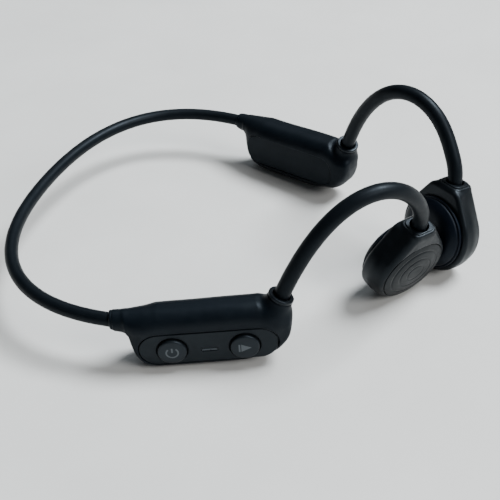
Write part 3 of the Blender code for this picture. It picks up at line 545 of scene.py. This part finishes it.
def pod_field(side):
    """The pod's shell with its socket boss, cover pocket and, on the right, its control pocket."""
    path = PODS[side].local(hook_path(side))
    socket_half = SOCKET_REACH * unit(path[1] - path[0])

    def field(points):
        u, y, z = points.T
        boss, scoop = boss_of(points, path)
        shell = soft_max(body_of(points, side), -scoop, SCOOP_FILLET)
        shell = soft_min(shell, boss, BOSS_FILLET)
        shell = soft_min(shell, neck_of(points), NECK_FILLET)
        cover = slab(cover_outline(y, z, COVER_GAP), u, -BEYOND, COVER_BACK + SHARP, SHARP)
        shell = soft_max(shell, -cover, COVER_EDGE)
        if side == RIGHT:
            pocket = slab(panel_outline(y, z, PANEL_GAP), u, PANEL_FLOOR, BEYOND, SHARP)
            shell = soft_max(shell, -pocket, POCKET_EDGE)
            for button_y in (POWER_Y, PLAY_Y):
                shaft = np.hypot(y - button_y, z - BUTTON_Z) - STEM_HOLE
                shell = soft_max(shell, -slab(shaft, u, STEM_HOLE_FLOOR, POD_FACE, SHARP), SHARP)
        _, from_axis = along_of(points, path[0] - socket_half, path[0] + socket_half)
        return soft_max(shell, HOOK_RADIUS + SOCKET_GAP - from_axis, SOCKET_EDGE)

    return field


def cover_field(side):
    """The inner cover, with holes for the charging contacts on the right."""
    def field(points):
        u, y, z = points.T
        plate = slab(cover_outline(y, z), u, COVER_FACE, COVER_BACK, COVER_EDGE)
        if side == RIGHT:
            for contact_y in CONTACT_YS:
                away = np.hypot(y - contact_y, z - CONTACT_Z)
                plate = soft_max(plate, CONTACT_HOLE - away, CONTACT_EDGE)
        return plate

    return field


def boot_field(points):
    """Strain relief: a short sleeve that tapers forward inside the neck of the pod."""
    u, y, z = points.T
    part = np.clip((y - BOOT_REAR) / BOOT_TAPER_LENGTH, 0, 1)
    across, high = (start + change * part for start, change in (BOOT_HALF_WIDTH, BOOT_HALF_HEIGHT))
    away = np.hypot((u - BOOT_SHIFT * part) / across, (z - COLLAR_Z + BOOT_DROP * part) / high)
    sleeve = soft_max((away - 1) * across, BOOT_REAR - y, BOOT_REAR_EDGE)
    return soft_max(sleeve, y - BOOT_FRONT, BOOT_FRONT_EDGE)


def panel_field(points):
    """The control plate: a racetrack with two wells and a slot."""
    u, y, z = points.T
    plate = slab(panel_outline(y, z), u, PANEL_FLOOR + 0.1, POD_FACE, PANEL_EDGE)
    narrowing = WELL_TAPER * np.clip(u - PANEL_FLOOR, 0, 2)
    for middle in (POWER_Y, PLAY_Y):
        away = np.hypot(y - middle, z - BUTTON_Z)
        plate = soft_max(plate, WELL_RADIUS - away - narrowing, WELL_EDGE)
    slot = rounded(y - LIGHT_Y, z - LIGHT_Z, *SLOT_OUTLINE)
    return soft_max(plate, -slab(slot, u, SLOT_FLOOR, 8.0, 0.05), SLOT_EDGE)


def lens_field(points):
    u, y, z = points.T
    flat = rounded(y - LIGHT_Y, z - LIGHT_Z, *LENS_OUTLINE)
    return slab(flat, u, LENS_BACK, LENS_FACE, LENS_EDGE)


def teardrop(x, y, radius, reach, top, corner):
    """Distance to the hull of a disc and of two small discs at the collar's corners."""
    x = np.abs(x)
    cx, cy = reach - corner, top - corner
    length = np.hypot(cx, cy)
    bearing = np.arctan2(cy, cx) - np.arccos(np.clip((radius - corner) / length, -1, 1))
    nx, ny = np.cos(bearing), np.sin(bearing)
    tx, ty = -ny, nx
    run = x * tx + y * ty
    reach_run = cx * tx + cy * ty
    line = x * nx + y * ny - radius
    disc = np.hypot(x, y) - radius
    qx, qy = x - cx, y - cy
    end = np.where(qx > 0, np.hypot(qx, qy) - corner, y - top)
    return np.where(run < 0, disc, np.where(run < reach_run, line, end))


def grown(depth, start, growth, end, power):
    return start + growth * np.clip(depth / end, 0, 1) ** power


def driver_field(points):
    """The transducer's shell: a teardrop with a fine rim at the outer face and a step towards the pad."""
    x, y, z = points.T
    depth = np.clip(-z, 0.0, DRIVER_DEPTH)
    part = smoothstep(depth / HOUSING_SWELL_DEPTH)
    radius = HOUSING_RADIUS + HOUSING_SWELL * part
    reach, corner = grown(depth, *HOUSING_REACH), grown(depth, *HOUSING_CORNER)
    outline = teardrop(x, y, radius, reach, HOUSING_TOP - HOUSING_TOP_FALL * part, corner)
    edge = np.where(z > -DRIVER_DEPTH / 2, HOUSING_OUTER_EDGE, HOUSING_INNER_EDGE)
    shell = slab(outline, z, -DRIVER_DEPTH, 0.0, edge)
    away = np.hypot(x, y)
    cap_seat = slab(away - (CAP_RADIUS + CAP_SEAT_GAP), z, CAP_SEAT_FLOOR, 3.0, SHARP)
    shell = soft_max(shell, -cap_seat, CAP_SEAT_EDGE)
    pad_seat = slab(away - PAD_SEAT_RADIUS, z, -DRIVER_DEPTH - 3.0, PAD_SEAT_FLOOR, SHARP)
    shell = soft_max(shell, -pad_seat, PAD_SEAT_EDGE)
    flat = rounded(x, z - COLLAR_MIDDLE, *COLLAR_OUTLINE)
    collar = slab(flat, y, COLLAR_ROOT, COLLAR_TOP - 0.4, COLLAR_EDGE)
    shell = soft_min(shell, collar, COLLAR_FILLET)
    bore = np.hypot(x, z - COLLAR_MIDDLE) - (HOOK_RADIUS + MOUTH_GAP)
    return soft_max(shell, -np.maximum(bore, MOUTH_FLOOR - y), MOUTH_EDGE)


def lip_field(points):
    """The squared lip round the hook where it enters the transducer."""
    x, y, z = points.T
    flat = rounded(x, z - COLLAR_MIDDLE, *LIP_OUTLINE)
    lip = slab(flat, y, COLLAR_TOP - LIP_DEPTH, COLLAR_TOP + LIP_RISE, LIP_EDGE)
    bore = np.hypot(x, z - COLLAR_MIDDLE)
    return soft_max(lip, HOOK_RADIUS + LIP_GAP - bore, 0.3)


# ---------------------------------------------------------------- materials


def nodes_of(name):
    material = bpy.data.materials.new(name)
    material.use_nodes = True
    tree = material.node_tree
    return material, tree, tree.nodes["Principled BSDF"]


def noise(tree, scale, detail=3.0, roughness=0.55):
    """Noise in object space; scale is in features per millimetre."""
    texture = tree.nodes.new("ShaderNodeTexNoise")
    texture.inputs["Scale"].default_value = scale / MM
    texture.inputs["Detail"].default_value = detail
    texture.inputs["Roughness"].default_value = roughness
    place = tree.nodes.new("ShaderNodeTexCoord")
    tree.links.new(place.outputs["Object"], texture.inputs["Vector"])
    return texture.outputs["Fac"]


def ranged(tree, value, low, high, start=0.3, end=0.7):
    node = tree.nodes.new("ShaderNodeMapRange")
    node.inputs["From Min"].default_value = start
    node.inputs["From Max"].default_value = end
    node.inputs["To Min"].default_value = low
    node.inputs["To Max"].default_value = high
    tree.links.new(value, node.inputs["Value"])
    return node.outputs["Result"]


def mixed(tree, factor, first, second):
    node = tree.nodes.new("ShaderNodeMix")
    node.data_type = "RGBA"
    tree.links.new(factor, node.inputs["Factor"])
    for socket, colour in ((node.inputs["A"], first), (node.inputs["B"], second)):
        if isinstance(colour, tuple):
            socket.default_value = (*colour, 1.0)
        else:
            tree.links.new(colour, socket)
    return node.outputs["Result"]


def bumped(tree, shader, height, distance):
    bump = tree.nodes.new("ShaderNodeBump")
    bump.inputs["Distance"].default_value = distance * MM
    tree.links.new(height, bump.inputs["Height"])
    tree.links.new(bump.outputs["Normal"], shader.inputs["Normal"])


# Sheen of the dark mouldings, a little blue, and how far its roughness comes and goes.
SHEEN_TINT = (0.72, 0.86, 1.0, 1.0)
SHEEN_SPREAD = 0.07
DUST = (0.30, 0.31, 0.32)


def moulded(name, dark, light, roughness, grain, depth, specular=0.5, dust=0.0):
    """Moulded rubber or plastic: a fine grain, slow changes of tone, and a sheen that comes and goes."""
    material, tree, shader = nodes_of(name)
    tone = ranged(tree, noise(tree, 0.12, 4.0), 0.0, 1.0)
    colour = mixed(tree, tone, dark, light)
    if dust:
        speck = ranged(tree, noise(tree, 1.3, 2.0, 0.7), 0.0, dust, 0.66, 0.8)
        colour = mixed(tree, speck, colour, DUST)
    tree.links.new(colour, shader.inputs["Base Color"])
    sheen = noise(tree, 0.35, 5.0, 0.6)
    patches = ranged(tree, sheen, roughness - SHEEN_SPREAD, roughness + SHEEN_SPREAD)
    tree.links.new(patches, shader.inputs["Roughness"])
    bumped(tree, shader, noise(tree, grain, 3.0, 0.6), depth)
    shader.inputs["Specular IOR Level"].default_value = specular
    shader.inputs["Specular Tint"].default_value = SHEEN_TINT
    return material


def metal(name, colour, roughness, streak=2.0):
    """Plated or drawn metal with fine handling marks."""
    material, tree, shader = nodes_of(name)
    shader.inputs["Metallic"].default_value = 1.0
    tone = ranged(tree, noise(tree, streak, 4.0), 0.0, 1.0)
    dull = tuple(0.8 * channel for channel in colour)
    tree.links.new(mixed(tree, tone, dull, colour), shader.inputs["Base Color"])
    marks = ranged(tree, noise(tree, 3.0, 4.0), roughness - 0.08, roughness + 0.1)
    tree.links.new(marks, shader.inputs["Roughness"])
    bumped(tree, shader, noise(tree, 6.0, 2.0), 0.004)
    return material


# Dark and light tone, roughness, grains per millimetre and their depth, then specular level and dust.
MOULDINGS = {
    "shell_rubber": ((0.0016, 0.0030, 0.0048), (0.0028, 0.0046, 0.0068), 0.45, 9.0, 0.006, 0.13),
    "tube_rubber": ((0.0022, 0.0034, 0.0048), (0.0036, 0.0052, 0.0070), 0.42, 7.0, 0.006, 0.115, 0.02),
    "panel_plastic": ((0.0026, 0.0040, 0.0052), (0.0040, 0.0056, 0.0070), 0.44, 11.0, 0.005, 0.2),
    "button_plastic": ((0.0046, 0.0064, 0.0082), (0.0066, 0.0088, 0.0108), 0.37, 11.0, 0.004, 0.23),
    "driver_plastic": ((0.0016, 0.0024, 0.0032), (0.0028, 0.0038, 0.0048), 0.40, 10.0, 0.004, 0.19),
    "cap_plastic": ((0.0022, 0.0031, 0.0037), (0.0034, 0.0044, 0.0052), 0.38, 10.0, 0.004, 0.12),
    "lip_plastic": ((0.0020, 0.0030, 0.0042), (0.0032, 0.0046, 0.0060), 0.38, 9.0, 0.003, 0.2),
    "pad_silicone": ((0.0010, 0.0022, 0.0052), (0.0018, 0.0036, 0.0078), 0.46, 5.0, 0.006, 0.17),
    "icon_print": ((0.052, 0.059, 0.064), (0.072, 0.080, 0.086), 0.5, 12.0, 0.003),
    "light_lens": ((0.012, 0.015, 0.017), (0.018, 0.021, 0.024), 0.3, 8.0, 0.003),
    "grey_seal": ((0.09, 0.09, 0.09), (0.13, 0.13, 0.13), 0.7, 6.0, 0.01),
    "board_mask": ((0.012, 0.09, 0.04), (0.02, 0.14, 0.065), 0.4, 4.0, 0.01),
    "chip_resin": ((0.015, 0.015, 0.016), (0.025, 0.025, 0.026), 0.5, 8.0, 0.006),
    "led_white": ((0.7, 0.7, 0.66), (0.8, 0.8, 0.76), 0.35, 4.0, 0.003),
}
# Colour and roughness, and for the foil the scale of its streaks.
METALS = {
    "titanium_wire": ((0.50, 0.49, 0.47), 0.3),
    "bare_steel": ((0.56, 0.56, 0.56), 0.33),
    "nickel": ((0.62, 0.61, 0.58), 0.2),
    "copper_wire": ((0.72, 0.35, 0.2), 0.32),
    "gold_plate": ((0.86, 0.63, 0.28), 0.22),
    "cell_foil": ((0.62, 0.62, 0.63), 0.38, 1.0),
}
MATERIALS = {name: moulded(name, *recipe) for name, recipe in MOULDINGS.items()}
MATERIALS.update({name: metal(name, *recipe) for name, recipe in METALS.items()})

# The finish of each CAD node that stays, by the end of its name.
INNER_FINISHES = {
    "spring_wire": "titanium_wire",
    "lead": "copper_wire",
    "voice_coil": "copper_wire",
    "cover_seal": "grey_seal",
    "magnet": "nickel",
    "magnet_yoke": "bare_steel",
    "suspension_spring": "bare_steel",
    "vibration_plate": "bare_steel",
    "switch": "bare_steel",
    "microphone": "bare_steel",
    "charge_contact_rear": "gold_plate",
    "charge_contact_front": "gold_plate",
    "board": "board_mask",
    "radio_chip": "chip_resin",
    "battery_cell": "cell_foil",
    "status_led": "led_white",
    "light_guide": "light_lens",
}


# ---------------------------------------------------------------- pieces


def build_tubes():
    band = band_path()
    root = band[0] + BAND_TUCK * unit(band[0] - band[1])
    tip = band[-1] + BAND_TUCK * unit(band[-1] - band[-2])
    path = smoothed(np.concatenate([[root], band, [tip]]), 260)
    tube = sweep("neckband_skin", path, BAND_RADIUS, "tube_rubber", 36)
    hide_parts("neckband_sleeve")
    for side, name in SIDES.items():
        path = hook_path(side)
        root = path[0] + HOOK_ROOT_TUCK * unit(path[0] - path[1])
        tip = path[-1] + HOOK_TIP_TUCK * unit(path[-1] - path[-2])
        path = smoothed(np.concatenate([[root], path, [tip]]), 150, 40)
        hook = sweep(f"{name}_hook_skin", path, HOOK_RADIUS, "tube_rubber", 40)
        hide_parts(f"{name}_hook_sleeve")


def build_pod(side):
    name, place, matte = SIDES[side], PODS[side], "shell_rubber"
    low, high = (-7.2, 0.4, -1.6), (7.2, 60.6, 27.2)
    shell = carve(f"{name}_pod_shell", pod_field(side), low, high, 0.3, place, matte)
    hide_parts(f"{name}_pod_housing")
    low, high = (-4.0, -0.6, 11.5), (5.4, 6.8, 22.5)
    boot = carve(f"{name}_boot_skin", boot_field, low, high, 0.22, place, matte)
    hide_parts(f"{name}_band_boot")
    low, high = (-6.4, 8.2, 3.6), (-4.3, 51.8, 17.2)
    cover = carve(f"{name}_cover_skin", cover_field(side), low, high, 0.28, place, matte)
    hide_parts(f"{name}_pod_cover")


def hook_ring(side):
    """The lip round the hook at the top of its boss."""
    name = SIDES[side]
    path = hook_path(side)
    way = unit(path[1] - path[0])
    across = unit(np.cross(way, (0, 0, 1)))
    place = Frame(np.column_stack([across, np.cross(way, across), way]), path[0])
    inner, outer, low, high = HOOK_RADIUS + RING_GAP, RING_RADIUS, RING_LOW, RING_HIGH
    mouth, crest, foot = RING_EDGES
    profile = (
        arc((inner + mouth, high - mouth), mouth, 180, 90, 5)
        + arc((outer - crest, high - crest), crest, 90, 0, 7)
        + arc((outer - foot, low + foot), foot, 0, -90, 4)
        + [(inner, low)]
    )
    ring = lathe(f"{name}_ring_skin", profile, place, "lip_plastic", 96, closed=True)
    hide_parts(f"{name}_hook_ring")


def face_frame(y, z, height):
    """On the right pod's control side: x forward, y up, z outward."""
    pod = PODS[RIGHT]
    u, forward, up = pod.axes.T
    return Frame(np.column_stack([forward, up, u]), pod.world((height, y, z)))


def strip(name, lines, place, thickness, matte, body):
    """Flat marks on a button: each a closed outline in local millimetres."""
    points, faces = [], []
    for outline in lines:
        start, count = len(points), len(outline)
        points += [(x, y, thickness) for x, y in outline] + [(x, y, 0.0) for x, y in outline]
        faces.append([start + i for i in range(count)])
        faces.append([start + count + i for i in reversed(range(count))])
        for i in range(count):
            j = (i + 1) % count
            faces.append([start + i, start + count + i, start + count + j, start + j])
    return new_object(name, place.world(points), faces, matte, body=body)


def power_mark():
    """An open ring and a bar, the usual standby sign."""
    outer, inner, opening = 2.2, 1.68, 40
    ring = arc((0.0, 0.0), outer, 90 + opening, 450 - opening, 48)
    ring += arc((0.0, 0.0), inner, 450 - opening, 90 + opening, 48)
    bar = [(-0.28, 0.1), (0.28, 0.1), (0.28, 1.95), (-0.28, 1.95)]
    return [ring, bar]


def play_mark():
    """A bar and a triangle, for play and pause."""
    bar = [(-2.15, -1.55), (-1.6, -1.55), (-1.6, 1.55), (-2.15, 1.55)]
    return [bar, [(-1.3, -1.6), (2.1, 0.0), (-1.3, 1.6)]]


def button_profile():
    """Half of a button's section from its slightly domed top to the end of its stem."""
    top, flat = BUTTON_TOP - POD_FACE, BUTTON_RADIUS - BUTTON_EDGE
    profile = [(0.0, top)]
    profile += [(r, top - BUTTON_CROWN * (r / BUTTON_RADIUS) ** 4) for r in np.linspace(0.6, flat, 9)]
    profile += arc((flat, top - BUTTON_EDGE - BUTTON_CROWN * 0.7), BUTTON_EDGE, 80, 0, 8)
    profile += [(BUTTON_RADIUS, -BUTTON_SKIRT), (STEM_RADIUS, -BUTTON_SKIRT)]
    return profile + [(STEM_RADIUS, -STEM_END), (0.0, -STEM_END)]


def build_controls():
    place = PODS[RIGHT]
    low, high = (4.3, 8.6, 1.9), (6.5, 53.4, 15.1)
    panel = carve("panel_skin", panel_field, low, high, 0.17, place, "panel_plastic")
    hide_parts("control_panel")
    for name, y, outlines in (("power", POWER_Y, power_mark()), ("play", PLAY_Y, play_mark())):
        body = f"{name}_button"
        seat = face_frame(y, BUTTON_Z, POD_FACE)
        button = lathe(f"{name}_button_skin", button_profile(), seat, "button_plastic", 96, body)
        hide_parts(body)
        face = face_frame(y, BUTTON_Z, BUTTON_TOP - MARK_LIFT)
        mark = strip(f"{name}_mark", outlines, face, MARK_THICKNESS, "icon_print", body)
        mark.data.shade_flat()
    low, high = (4.7, 28.4, 6.8), (6.2, 34.2, 8.2)
    guide = carve("light_skin", lens_field, low, high, 0.12, place, "light_lens")


def cap_height(radius):
    dome = CAP_DOME - CAP_FALL * (radius / CAP_RADIUS) ** CAP_FALL_POWER
    for groove, depth, width in CAP_GROOVES:
        dome -= depth * math.exp(-(((radius - groove) / width) ** 2))
    return dome


def cap_profile():
    """The outer face: a shallow dome with three fine turned grooves and a rounded rim."""
    flat = CAP_RADIUS - CAP_EDGE
    profile = [(radius, cap_height(radius)) for radius in np.linspace(0.0, flat, 130)]
    profile += arc((flat, cap_height(flat) - CAP_EDGE), CAP_EDGE, 85, 0, 8)
    return profile + [(CAP_RADIUS, CAP_BACK), (0.0, CAP_BACK)]


def pad_profile():
    """The soft pad: a broad rounded face inside a lower flange, turned away from the outer face."""
    dish, drop, rim_edge = 0.3, 2.1, 0.35
    waist, spigot = -10.6, 11.65
    profile = [(0.0, PAD_FACE + dish)]
    profile += [(r, PAD_FACE + dish - dish * (r / PAD_FLAT) ** 2) for r in np.linspace(0.5, PAD_FLAT, 14)]
    shoulder = np.linspace(PAD_FLAT + 0.6, PAD_SHOULDER, 16)
    profile += [(r, PAD_FACE + drop * ((r - PAD_FLAT) / 5.2) ** 2.3) for r in shoulder]
    profile += arc((13.05, PAD_EDGE - 0.15), 0.2, -170, -280, 6)
    profile += arc((PAD_RIM - rim_edge, PAD_EDGE + rim_edge), rim_edge, -90, 0, 6)
    profile += [(PAD_RIM, waist), (spigot, waist), (spigot, PAD_BACK), (0.0, PAD_BACK)]
    return profile[::-1]


def build_driver(side):
    name, place = SIDES[side], DRIVERS[side]
    low, high = (-16.4, -16.4, -11.0), (16.4, 19.6, 1.0)
    shell = carve(f"{name}_driver_shell", driver_field, low, high, 0.28, place, "driver_plastic")
    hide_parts(f"{name}_driver_housing")
    cap = lathe(f"{name}_cap_skin", cap_profile(), place, "cap_plastic", 128)
    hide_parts(f"{name}_driver_cap")
    pad = lathe(f"{name}_pad_skin", pad_profile(), place, "pad_silicone", 128)
    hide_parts(f"{name}_contact_pad")
    low, high = (-5.3, COLLAR_TOP - 1.0, -9.6), (5.3, COLLAR_TOP + 0.9, 0.0)
    lip = carve(f"{name}_lip_skin", lip_field, low, high, 0.15, place, "lip_plastic")
    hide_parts(f"{name}_driver_lip")


build_tubes()
for pod_side in SIDES:
    build_pod(pod_side)
    hook_ring(pod_side)
    build_driver(pod_side)
build_controls()

for node_name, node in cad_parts.items():
    if node.hide_render:
        continue
    finish = max((end for end in INNER_FINISHES if node_name.endswith(end)), key=len)
    node.data.materials.clear()
    node.data.materials.append(MATERIALS[INNER_FINISHES[finish]])

# ---------------------------------------------------------------- studio


FLOOR_HALF, FLOOR_DROP = 3.0, 0.0002
FLOOR_TONES = ((0.60, 0.60, 0.585), (0.64, 0.64, 0.625))
WORLD_COLOUR, WORLD_STRENGTH = (0.80, 0.86, 0.93, 1.0), 0.11
LIGHT_DISTANCE = 2.6
# Azimuth and elevation in degrees, size in metres, power in watts and colour.
LIGHTS = {
    "overhead": (218, 58, 1.2, 150.0, (0.93, 0.97, 1.0)),
    "sky": (285, 55, 2.2, 11.0, (0.86, 0.94, 1.0)),
    "side": (165, 36, 1.3, 42.0, (1.0, 0.99, 0.97)),
}
CAMERA_BEARING, CAMERA_ROLL = (108.08, 37.36), math.radians(-1.18)
CAMERA_PLACE = np.array((255.95, 109.29, 207.20)) - ORIGIN
CAMERA_LENS, CAMERA_SENSOR = 63.26, 36.0


def bearing(azimuth, elevation):
    """The way from the set to a place round it. Azimuth 0 is in front, at -Y, and 90 at +X."""
    a, e = math.radians(azimuth), math.radians(elevation)
    return Vector((math.sin(a) * math.cos(e), -math.cos(a) * math.cos(e), math.sin(e)))


def floor_material():
    material, tree, shader = nodes_of("pale_floor")
    clouds = ranged(tree, noise(tree, 0.02, 4.0), 0.0, 1.0)
    tree.links.new(mixed(tree, clouds, *FLOOR_TONES), shader.inputs["Base Color"])
    shader.inputs["Roughness"].default_value = 0.7
    shader.inputs["Specular IOR Level"].default_value = 0.2
    bumped(tree, shader, noise(tree, 1.2, 4.0), 0.03)
    return material


def build_floor():
    mesh = bpy.data.meshes.new("floor")
    corners = [(x * FLOOR_HALF, y * FLOOR_HALF, 0) for x, y in ((-1, -1), (1, -1), (1, 1), (-1, 1))]
    mesh.from_pydata(corners, [], [(0, 1, 2, 3)])
    floor = bpy.data.objects.new("floor", mesh)
    floor.location.z = -FLOOR_DROP
    bpy.context.scene.collection.objects.link(floor)
    mesh.materials.append(floor_material())


def area_light(name, azimuth, elevation, size, power, colour):
    """A round soft box that faces the set."""
    way = bearing(azimuth, elevation)
    light = bpy.data.lights.new(name, "AREA")
    light.shape = "DISK"
    light.size = size
    light.energy = power
    light.color = colour
    lamp = bpy.data.objects.new(name, light)
    lamp.location = way * LIGHT_DISTANCE
    lamp.rotation_euler = (-way).to_track_quat("-Z", "Y").to_euler()
    bpy.context.scene.collection.objects.link(lamp)


def build_studio():
    build_floor()
    world = bpy.data.worlds.new("studio")
    world.use_nodes = True
    background = world.node_tree.nodes["Background"]
    background.inputs["Color"].default_value = WORLD_COLOUR
    background.inputs["Strength"].default_value = WORLD_STRENGTH
    bpy.context.scene.world = world
    for name, settings in LIGHTS.items():
        area_light(name, *settings)


def build_camera():
    camera = bpy.data.cameras.new("camera")
    camera.sensor_width = CAMERA_SENSOR
    camera.lens = CAMERA_LENS
    camera.clip_start = 0.01
    eye = bpy.data.objects.new("camera", camera)
    back = bearing(*CAMERA_BEARING)
    level = Vector((0, 0, 1)).cross(back).normalized()
    upright = back.cross(level)
    right = level * math.cos(CAMERA_ROLL) + upright * math.sin(CAMERA_ROLL)
    eye.matrix_world = Matrix((right, back.cross(right), back)).transposed().to_4x4()
    eye.location = Vector(CAMERA_PLACE) * MM
    bpy.context.scene.collection.objects.link(eye)
    bpy.context.scene.camera = eye


build_studio()
build_camera()
